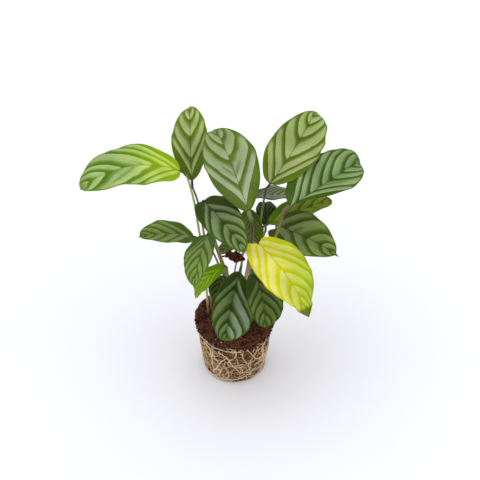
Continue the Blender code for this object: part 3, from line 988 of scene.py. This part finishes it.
@dataclass(frozen=True)
class PeatFinish:
    """Peat and coir: crumbly, matt, dark brown with rust coloured fibre."""

    name: str = "peat and coir"
    dark: str = "#0d0603"
    body: str = "#33190c"
    rust: str = "#6e3f26"

    def material(self) -> Material:
        """Build the peat. Crumbs are about 2 mm, and their shade changes over about 8 mm."""
        nodes = Wiring(self.name)
        place = nodes.place()
        crumbs = nodes.cells(place, 520.0)
        mixed = nodes.maths("MULTIPLY_ADD", crumbs, 0.45, nodes.noise(place, 130.0, 6.0, 0.65))
        colour = nodes.stops(mixed, (0.34, self.dark), (0.56, self.body), (0.82, self.rust))
        height = nodes.maths("MULTIPLY_ADD", nodes.noise(place, 1400.0, 3.0), 0.4, crumbs)
        return nodes.close(colour, 0.95, 0.2, nodes.bump(height, 0.9, 1.2 * MM))


@dataclass(frozen=True)
class StrandFinish:
    """Roots, fibres, crumbs and grains: each strand has its own shade between two colours."""

    name: str
    light: str
    dark: str
    dirt: str
    roughness: float = 0.75
    dirt_share: float = 0.4

    def material(self) -> Material:
        """Build the strands. The map "strand" holds each one's number; dirt clings in 4 mm spots."""
        nodes = Wiring(self.name)
        shade = nodes.blend(nodes.read("strand")[0], self.light, self.dark)
        spots = nodes.noise(nodes.place(), 260.0, 4.0, 0.6)
        dirty = nodes.ramp(spots, 0.72 - self.dirt_share * 0.5, 0.80 - self.dirt_share * 0.3)
        mixed = nodes.blend(dirty, shade, self.dirt)
        return nodes.close(mixed, self.roughness, 0.3, nodes.bump(spots, 0.5, 0.4 * MM))


PEAT = PeatFinish()
ROOT_SKIN = StrandFinish("living root", "#edd9b0", "#b0804a", "#5c3620")
PALE_ROOT_SKIN = StrandFinish("young root", "#f6e6c8", "#dcb988", "#94693f", dirt_share=0.2)
HAIR_SKIN = StrandFinish("fine root", "#d2b080", "#7c4f2a", "#46260f")
FIBRE_SKIN = StrandFinish("coir fibre", "#9c6a45", "#4a2c1a", "#301b10", dirt_share=0.2)
CRUMB_SKIN = StrandFinish("peat crumb", "#6e3f26", "#150a05", "#0e0603", 0.95)
PERLITE_SKIN = StrandFinish("perlite", "#efece2", "#cfc8b8", "#8f7f6a", 0.9, 0.1)
SHEATH_SKIN = StrandFinish("papery sheath", "#b9aa78", "#8a6a48", "#6b4a30", 0.6, 0.4)
WITHERED_SKIN = StrandFinish("withered leaf", "#71381a", "#46200e", "#22100a", 0.7, 0.5)


# Strong roots seen on the open side, as degrees round the ball and millimetres over its foot
SEEN_ROOTS = (
    ((-158, 74), (-148, 72), (-138, 72), (-125, 69), (-109, 69), (-95, 68), (-83, 67), (-72, 66)),
    ((-71, 70), (-64, 60), (-57, 48), (-47, 39), (-32, 36), (-24, 43), (-19, 54)),
    ((-116, 64), (-113, 61), (-103, 54), (-95, 41), (-87, 30), (-79, 19)),
    ((-148, 67), (-135, 63), (-131, 49), (-129, 34), (-131, 10)),
    ((-77, 65), (-76, 52), (-66, 35), (-62, 16)),
    ((-150, 8), (-145, 4), (-124, 5), (-105, 6), (-91, 8), (-77, 10), (-62, 16), (-50, 24)),
    ((-130, 12), (-127, 18), (-113, 41), (-103, 52), (-97, 45)),
    ((-37, 68), (-42, 58), (-35, 34), (-18, 5)),
)


@dataclass
class RootBall:
    """The plug of peat and coir, in the shape of its nursery pot, with all that grows on it.

    Each hollow of the soil has a place, a radius and a depth in millimetres.
    """

    neck_radius: float = 51.0 * MM
    foot_radius: float = 43.0 * MM
    height: float = 91.0 * MM
    lip_height: float = 14.0 * MM
    side_lumps: float = 0.6 * MM
    segments: int = 264
    rings: int = 150
    stout_roots: int = 12
    root_points: int = 40
    net_roots: int = 230
    fine_roots: int = 430
    crumbs: int = 2100
    grains: int = 30
    fibres: int = 340
    stride_mm: float = 2.6
    root_lean: float = math.radians(16.0)
    root_wander: float = math.radians(5.0)
    root_top_mm: float = 72.0
    root_drop_mm: float = 67.0
    root_lift: float = 0.7 * MM
    root_radius: float = 0.85 * MM
    hollows: tuple = ((-35, 14, 15, 8), (-44, -6, 9, 5), (38, -6, 13, 6), (10, -40, 8, 3), (24, 34, 12, 5))

    @staticmethod
    def lumps(angle: float, height: float) -> float:
        """The unevenness of the construction's side, between about -1 and 1."""
        total = 0.0
        for count, climb, phase, share in ((3, 17, 0.0, 0.5), (7, -11, 1.3, 0.3), (13, 23, 0.6, 0.2)):
            total += share * math.sin(count * angle + height / (climb * MM) + phase)
        return total

    def side_radius(self, angle: float, height: float) -> float:
        """Radius of the side under the lip."""
        share = height / (self.height - self.lip_height)
        taper = (self.neck_radius - self.foot_radius) * share
        return self.foot_radius + taper + self.side_lumps * self.lumps(angle, height)

    def hollow(self, spot: Vector) -> float:
        """Depth of the hollows in the soil under a place."""
        depth = 0.0
        for x, y, radius, deep in self.hollows:
            away = math.hypot(spot.x - x * MM, spot.y - y * MM)
            depth = max(depth, deep * MM * smooth_step(radius * MM, 0.35 * radius * MM, away))
        return depth

    def profile(self) -> list:
        """Points of the outline from the foot's middle, up the side, over the lip to the middle."""
        marks = [(0.1, 0.0), (20.0, 0.0), (40.0, 0.0), (43.1, 3.0)]
        marks += [(43.0 + 8.0 * level / 77.0, level) for level in (15.0, 30.0, 45.0, 60.0, 72.0)]
        marks += [(52.0, 76.0), (54.2, 79.5), (55.0, 84.0), (54.2, 88.0), (51.0, 90.2), (45.0, 88.8)]
        marks += [(38.0, 87.6), (20.0, 87.2), (0.1, 87.4)]
        return smooth_way([Vector((out * MM, 0.0, level * MM)) for out, level in marks], self.rings)

    def surface(self, angle: float, outline: Vector, normal: Vector) -> Vector:
        """A point of the crumbly surface.

        Args:
            angle: Where it is round the ball.
            outline: Its place on the smooth outline, radius in X and height in Z.
            normal: The outline's outward direction, in the same plane.

        Returns:
            The point.
        """
        around = Vector((math.cos(angle), math.sin(angle), 0.0))
        spot = around * outline.x + up(outline.z)
        coarse = noise.fractal(spot / (13.0 * MM), 0.9, 2.0, 3)
        fine = noise.fractal(spot / (3.2 * MM), 0.8, 2.1, 3)
        on_top = smooth_step(76.0 * MM, 83.0 * MM, outline.z)
        push = coarse * (0.6 + 2.4 * on_top) * MM + fine * (0.6 + 0.9 * on_top) * MM
        push += self.side_lumps * self.lumps(angle, outline.z) * (1.0 - on_top)
        push -= (0.6 + 0.6 * on_top) * MM
        push *= smooth_step(0.0, 3.0 * MM, outline.z)
        moved = spot + around * normal.x * push + up(normal.z * push)
        if outline.z > 84.0 * MM:
            moved.z -= self.hollow(moved)
        moved.z = min(max(moved.z, 0.0), self.height + 0.8 * MM)
        return moved

    def build_plug(self) -> None:
        """Make the plug itself."""
        outline = self.profile()
        draft = Draft()
        last = len(outline) - 1
        for index, point in enumerate(outline):
            run = (outline[min(index + 1, last)] - outline[max(index - 1, 0)]).normalized()
            normal = Vector((run.z, 0.0, -run.x))
            for segment in range(self.segments):
                draft.points.append(self.surface(math.tau * segment / self.segments, point, normal))
        draft.wrap(0, last, self.segments)
        draft.piece("peat_plug", [PEAT], "peat", "root_ball")

    def on_side(self, angle: float, height: float, lift: float) -> Vector:
        """A point over the side.

        Args:
            angle: Where it is round the ball, in radians.
            height: Height over the foot, kept on the side.
            lift: How far it stands out from the side.

        Returns:
            The point.
        """
        level = min(max(height, SIDE_LOW), SIDE_HIGH)
        reach = self.side_radius(angle, level) + lift + 2.2 * MM * smooth_step(71.0 * MM, SIDE_HIGH, level)
        return Vector((reach * math.cos(angle), reach * math.sin(angle), level))

    def root_way(self, number: int) -> list:
        """The way of one stout root, as in the construction."""
        start = math.tau * number / self.stout_roots
        lean = self.root_lean * math.sin(2.4 * number + 0.5)
        way = []
        for step in range(self.root_points):
            share = step / (self.root_points - 1)
            wander = self.root_wander * math.sin(math.tau * 1.3 * share + 1.9 * number)
            angle = start + lean * (share - 0.5) + wander
            level = (self.root_top_mm - self.root_drop_mm * share) * MM
            way.append(self.on_side(angle, level, self.root_lift))
        return way

    def build_stout_roots(self) -> None:
        """Make the stoutest roots, each with seven short side roots."""
        draws = random.Random(STOUT_SEED)
        last = self.root_points - 1
        for number in range(self.stout_roots):
            draft = Draft()
            way = self.root_way(number)
            radii = [self.root_radius * (1.0 - 0.45 * step / last) for step in range(self.root_points)]
            mark = draws.uniform(0.2, 0.9)
            draft.tube(way, radii, 8, mark, uneven=0.25)
            for _ in range(7):
                start = way[draws.randrange(3, 36)]
                length, radius = draws.uniform(12.0, 34.0), draws.uniform(0.35, 0.55)
                self.crawl(draft, draws, start, length, radius, mark, 1.0)
            node = f"root_{number + 1:02d}"
            draft.piece(f"{node}_strand", [ROOT_SKIN], "root", node)

    def crawl(
        self,
        draft: Draft,
        draws: random.Random,
        start: Vector,
        length: float,
        radius: float,
        mark: float,
        lift: float,
    ) -> None:
        """Let a root crawl over the side from a point.

        Args:
            draft: The draft that gets the root.
            draws: Where its turns are drawn from.
            start: Its first point.
            length: Its length in millimetres.
            radius: Its radius at the start in millimetres.
            mark: Its shade.
            lift: Height over the side in millimetres.
        """
        angle = math.atan2(start.y, start.x)
        height = start.z
        heading = draws.choice((0.0, math.pi)) + draws.gauss(0.0, 0.85)
        steps = max(int(length / self.stride_mm), 4)
        way, radii = [], []
        bend = draws.gauss(0.0, 0.14)
        for step in range(steps + 1):
            share = step / steps
            rise = (0.9 * math.sin(share * math.pi) * lift + draws.uniform(-0.15, 0.15) - 0.2) * MM
            way.append(self.on_side(angle, height, rise))
            radii.append(radius * MM * (1.0 - 0.6 * share))
            bend = 0.75 * bend + draws.gauss(0.0, 0.17)
            heading += bend
            angle += math.cos(heading) * self.stride_mm * MM / self.neck_radius
            height += math.sin(heading) * self.stride_mm * MM
            if not CRAWL_LOW < height < CRAWL_HIGH:
                heading = -heading
                height = min(max(height, CRAWL_LOW), CRAWL_HIGH)
        draft.tube(way, radii, 6 if radius > 0.3 else 4, mark)

    def build_root_net(self) -> None:
        """Make the net of middling roots, the fine ones between them, and the strong ones seen."""
        draws = random.Random(NET_SEED)
        net, fine, strong = Draft(), Draft(), Draft()
        planted = 0
        while planted < self.net_roots:
            start = self.on_side(draws.uniform(0.0, math.tau), draws.triangular(2.0, 72.0, 20.0) * MM, 0.0)
            if noise.noise(start / (17.0 * MM)) < -0.12 and draws.random() < 0.8:
                continue
            planted += 1
            radius = draws.triangular(0.3, 1.0, 0.42)
            length, mark, lift = draws.uniform(18.0, 70.0), draws.random(), draws.uniform(0.3, 1.8)
            self.crawl(net, draws, start, length, radius, mark, lift)
        net.piece("root_net", [ROOT_SKIN], "root")
        for _ in range(self.fine_roots):
            start = self.on_side(draws.uniform(0.0, math.tau), draws.triangular(2.0, 74.0, 30.0) * MM, 0.0)
            length, mark, lift = draws.uniform(10.0, 34.0), draws.random(), draws.uniform(0.4, 1.8)
            self.crawl(fine, draws, start, length, 0.2, mark, lift)
        fine.piece("fine_roots", [HAIR_SKIN], "root")
        for number, marks in enumerate(SEEN_ROOTS):
            points = [self.on_side(math.radians(turn), level * MM, 1.5 * MM) for turn, level in marks]
            way = smooth_way(points, 8 * len(points))
            for index, point in enumerate(way):
                shifts = [noise.noise(point / (7.0 * MM) + up(20.0 * axis)) for axis in range(3)]
                way[index] = point + Vector(shifts) * 0.8 * MM
            thick = 0.72 - 0.2 * (number % 3 == 1)
            radii = [thick * MM * (1.0 - 0.5 * index / len(way)) for index in range(len(way))]
            strong.tube(way, radii, 8, draws.random() * 0.6, uneven=0.3)
            for _ in range(4):
                start = draws.choice(way)
                self.crawl(strong, draws, start, draws.uniform(8.0, 26.0), 0.45, draws.random(), 1.4)
        strong.piece("strong_roots", [PALE_ROOT_SKIN], "root")

    @staticmethod
    def clod(draft: Draft, draws: random.Random, centre: Vector, size: float, mark: float) -> None:
        """Add one uneven grain.

        Args:
            draft: The draft that gets it.
            draws: Where its form is drawn from.
            centre: Its middle.
            size: Its radius.
            mark: Its shade.
        """
        start = len(draft.points)
        spin = Matrix.Rotation(draws.uniform(0.0, math.tau), 3, "Z")
        spin = spin @ Matrix.Rotation(draws.uniform(0.0, 3.1), 3, "X")
        stretch = Vector((draws.uniform(0.7, 1.3), draws.uniform(0.7, 1.2), draws.uniform(0.5, 0.9)))
        belts = ((0.0, 1.0, 1), (0.85, 0.5, 5), (0.85, -0.5, 5), (0.0, -1.0, 1))
        for belt, (out, level, count) in enumerate(belts):
            for index in range(count):
                turn = math.tau * (index + 0.5 * belt) / count
                spot = Vector((out * math.cos(turn), out * math.sin(turn), level)) * draws.uniform(0.75, 1.2)
                draft.points.append(centre + spin @ (spot * stretch) * size)
        for index in range(5):
            top, beside = start + 1 + index, start + 1 + (index + 1) % 5
            low, under, end = top + 5, beside + 5, start + 11
            sides = ((start, top, beside), (top, low, beside), (beside, low, under), (low, end, under))
            for corners in sides:
                draft.face(corners, strand=[(mark, 0.5)] * 3)

    def place_on_top(self, draws: random.Random) -> Vector:
        """Draw a place on the soil, on the lip or just under it."""
        angle = draws.uniform(0.0, math.tau)
        kind = draws.random()
        if kind < 0.2:
            height = draws.triangular(60.0, 77.0, 74.0) * MM
            return self.on_side(angle, height, draws.uniform(0.0, 0.8) * MM)
        if kind < 0.6:
            tilt = draws.uniform(-0.7, 1.5)
            out = 50.3 + 4.4 * math.cos(tilt)
            return Vector((out * math.cos(angle), out * math.sin(angle), 84.3 + 5.0 * math.sin(tilt))) * MM
        out = 50.0 * math.sqrt(draws.random())
        spot = Vector((math.cos(angle) * out, math.sin(angle) * out, 0.0)) * MM
        spot.z = (87.2 + 1.4 * noise.noise(spot / (12.0 * MM))) * MM - self.hollow(spot)
        return spot

    def build_litter(self) -> None:
        """Scatter crumbs, perlite and coir fibres over the soil and the lip."""
        draws = random.Random(LITTER_SEED)
        crumbs, grains, fibres = Draft(), Draft(), Draft()
        for _ in range(self.crumbs):
            spot = self.place_on_top(draws)
            self.clod(crumbs, draws, spot, draws.triangular(0.5, 3.0, 0.9) * MM, draws.random())
        crumbs.piece("peat_crumbs", [CRUMB_SKIN], "peat")
        for _ in range(self.grains):
            spot = self.place_on_top(draws) + up(0.6 * MM)
            self.clod(grains, draws, spot, draws.uniform(0.5, 1.1) * MM, draws.random())
        grains.piece("perlite_grains", [PERLITE_SKIN], "root")
        for _ in range(self.fibres):
            spot = self.place_on_top(draws)
            heading = draws.uniform(0.0, math.tau)
            radius = draws.uniform(0.10, 0.28) * MM
            way = [spot + up(0.8 * MM)]
            for _ in range(draws.randrange(4, 10)):
                heading += draws.gauss(0.0, 0.45)
                step = Vector((math.cos(heading), math.sin(heading), draws.uniform(-0.35, 0.3))) * 2.2 * MM
                after = way[-1] + step
                out = math.hypot(after.x, after.y)
                if out > FIBRE_REACH:
                    after *= FIBRE_REACH / out
                    after.z = way[-1].z - 1.2 * MM
                after.z = min(max(after.z, 74.0 * MM), 92.0 * MM)
                way.append(after)
            fibres.tube(way, [radius] * len(way), 5, draws.random())
        fibres.piece("coir_fibres", [FIBRE_SKIN], "peat")

    def build(self) -> None:
        """Make the whole root ball."""
        self.build_plug()
        self.build_stout_roots()
        self.build_root_net()
        self.build_litter()


@dataclass
class Crown:
    """The papery sheaths round the stalks' feet, where the shoots leave the soil."""

    sheath_radius: float = 1.9 * MM
    top_radius: float = 1.4 * MM

    def build(self) -> None:
        """Make one sheath for each stalk of the crown, from 16 to 34 mm high."""
        draws = random.Random(SHEATH_SEED)
        for leaf in LEAVES:
            way = Stalk(leaf).way()
            height = draws.uniform(16.0, 34.0) * MM
            kept = [point for point in way if point.z < SOIL_LEVEL + height]
            if len(kept) < 4:
                continue
            draft, last, taper = Draft(), len(kept) - 1, self.top_radius - self.sheath_radius
            swells = [self.sheath_radius + taper * (index / last) ** 1.5 for index in range(last + 1)]
            radii = [swell * leaf.stoutness**0.7 for swell in swells]
            draft.tube(kept, radii, 14, draws.random(), uneven=0.22)
            draft.piece(f"{leaf.name}_sheath", [SHEATH_SKIN], "dry_stalk")


@dataclass
class DeadLeaf:
    """The withered leaf between the stalks: a crumpled brown sheet on a dry stalk."""

    blade: Blade = field(default_factory=lambda: Blade(DEAD_LEAF, rows=60, columns=28))
    crumple_mm: float = 3.2

    def build(self) -> None:
        """Make the sheet and its stalk."""
        draft = self.blade.draft()
        half = len(draft.points) // 2
        # Size of the folds in millimetres along each axis, each read from its own part of the noise
        folds = ((7.0, (0.0, 0.0, 0.0)), (6.0, (9.0, 0.0, 0.0)), (5.0, (0.0, 7.0, 0.0)))
        for index in range(half):
            spot = draft.points[index]
            crumple = Vector([noise.noise(spot / (size * MM) + Vector(off)) for size, off in folds])
            shift = crumple * self.crumple_mm * MM
            draft.points[index] = spot + shift
            draft.points[index + half] += shift
        draft.maps = {"strand": draft.maps["blade"]}
        draft.skins = [0] * len(draft.skins)
        draft.piece("dead_leaf_blade", [WITHERED_SKIN], "leaf_dead", "dead_leaf")
        Stalk(DEAD_LEAF, sides=8).build()


@dataclass
class Studio:
    """The pale floor, the soft light and the photograph's camera."""

    floor_half: float = 30.0
    sky: float = 0.96

    def build_floor(self) -> None:
        """Lay a plain pale floor, matt like coated paper."""
        half = self.floor_half
        corners = [(-half, -half, 0.0), (half, -half, 0.0), (half, half, 0.0), (-half, half, 0.0)]
        mesh = bpy.data.meshes.new("studio_floor")
        mesh.from_pydata(corners, [], [(0, 1, 2, 3)])
        mesh.materials.append(Wiring("matt white paper").close("#f8f8fc", 0.9, 0.1))
        floor = add_object("studio_floor", mesh)

    def build_light(self) -> None:
        """Hang a wide key from the upper left, a fill from the right, and an even white sky."""
        world = bpy.data.worlds.new("studio")
        bpy.context.scene.world = world
        world.use_nodes = True
        background = world.node_tree.nodes["Background"]
        background.inputs["Color"].default_value = linear("#fbfcff")
        background.inputs["Strength"].default_value = self.sky
        for name, place, size, power in (
            ("key", Vector((-0.9, -0.4, 3.8)), 3.0, 20.0),
            ("fill", Vector((2.6, -1.2, 3.0)), 2.6, 8.0),
            ("back", Vector((0.2, 2.4, 3.4)), 2.8, 8.0),
        ):
            lamp = bpy.data.lights.new(name, "AREA")
            lamp.shape = "DISK"
            lamp.size = size
            lamp.energy = power
            thing = add_object(name, lamp)
            thing.location = place
            thing.rotation_euler = (up(LIT_HEIGHT) - place).to_track_quat("-Z", "Y").to_euler()

    def build_camera(self) -> None:
        """Set the camera to the photograph's view."""
        lens = bpy.data.cameras.new("view")
        lens.lens = LENS_MM
        lens.sensor_width = SENSOR_MM
        lens.clip_start = 0.05
        camera = add_object("view", lens)
        back = Vector((0.0, -math.cos(VIEW_ELEVATION), math.sin(VIEW_ELEVATION)))
        camera.location = VIEW_TARGET + back * VIEW_DISTANCE
        camera.rotation_euler = (-back).to_track_quat("-Z", "Y").to_euler()
        bpy.context.scene.camera = camera

    def build(self) -> None:
        """Set up the whole studio."""
        bpy.context.scene.view_settings.view_transform = "Standard"
        self.build_floor()
        self.build_light()
        self.build_camera()


def main() -> None:
    """Build the plant in its studio."""
    logging.basicConfig(level=logging.INFO, format="%(name)s: %(message)s")
    Studio().build()
    RootBall().build()
    for leaf in LEAVES:
        Blade(leaf).build()
        Stalk(leaf).build()
    DeadLeaf().build()
    Crown().build()


if __name__ == "__main__":
    main()
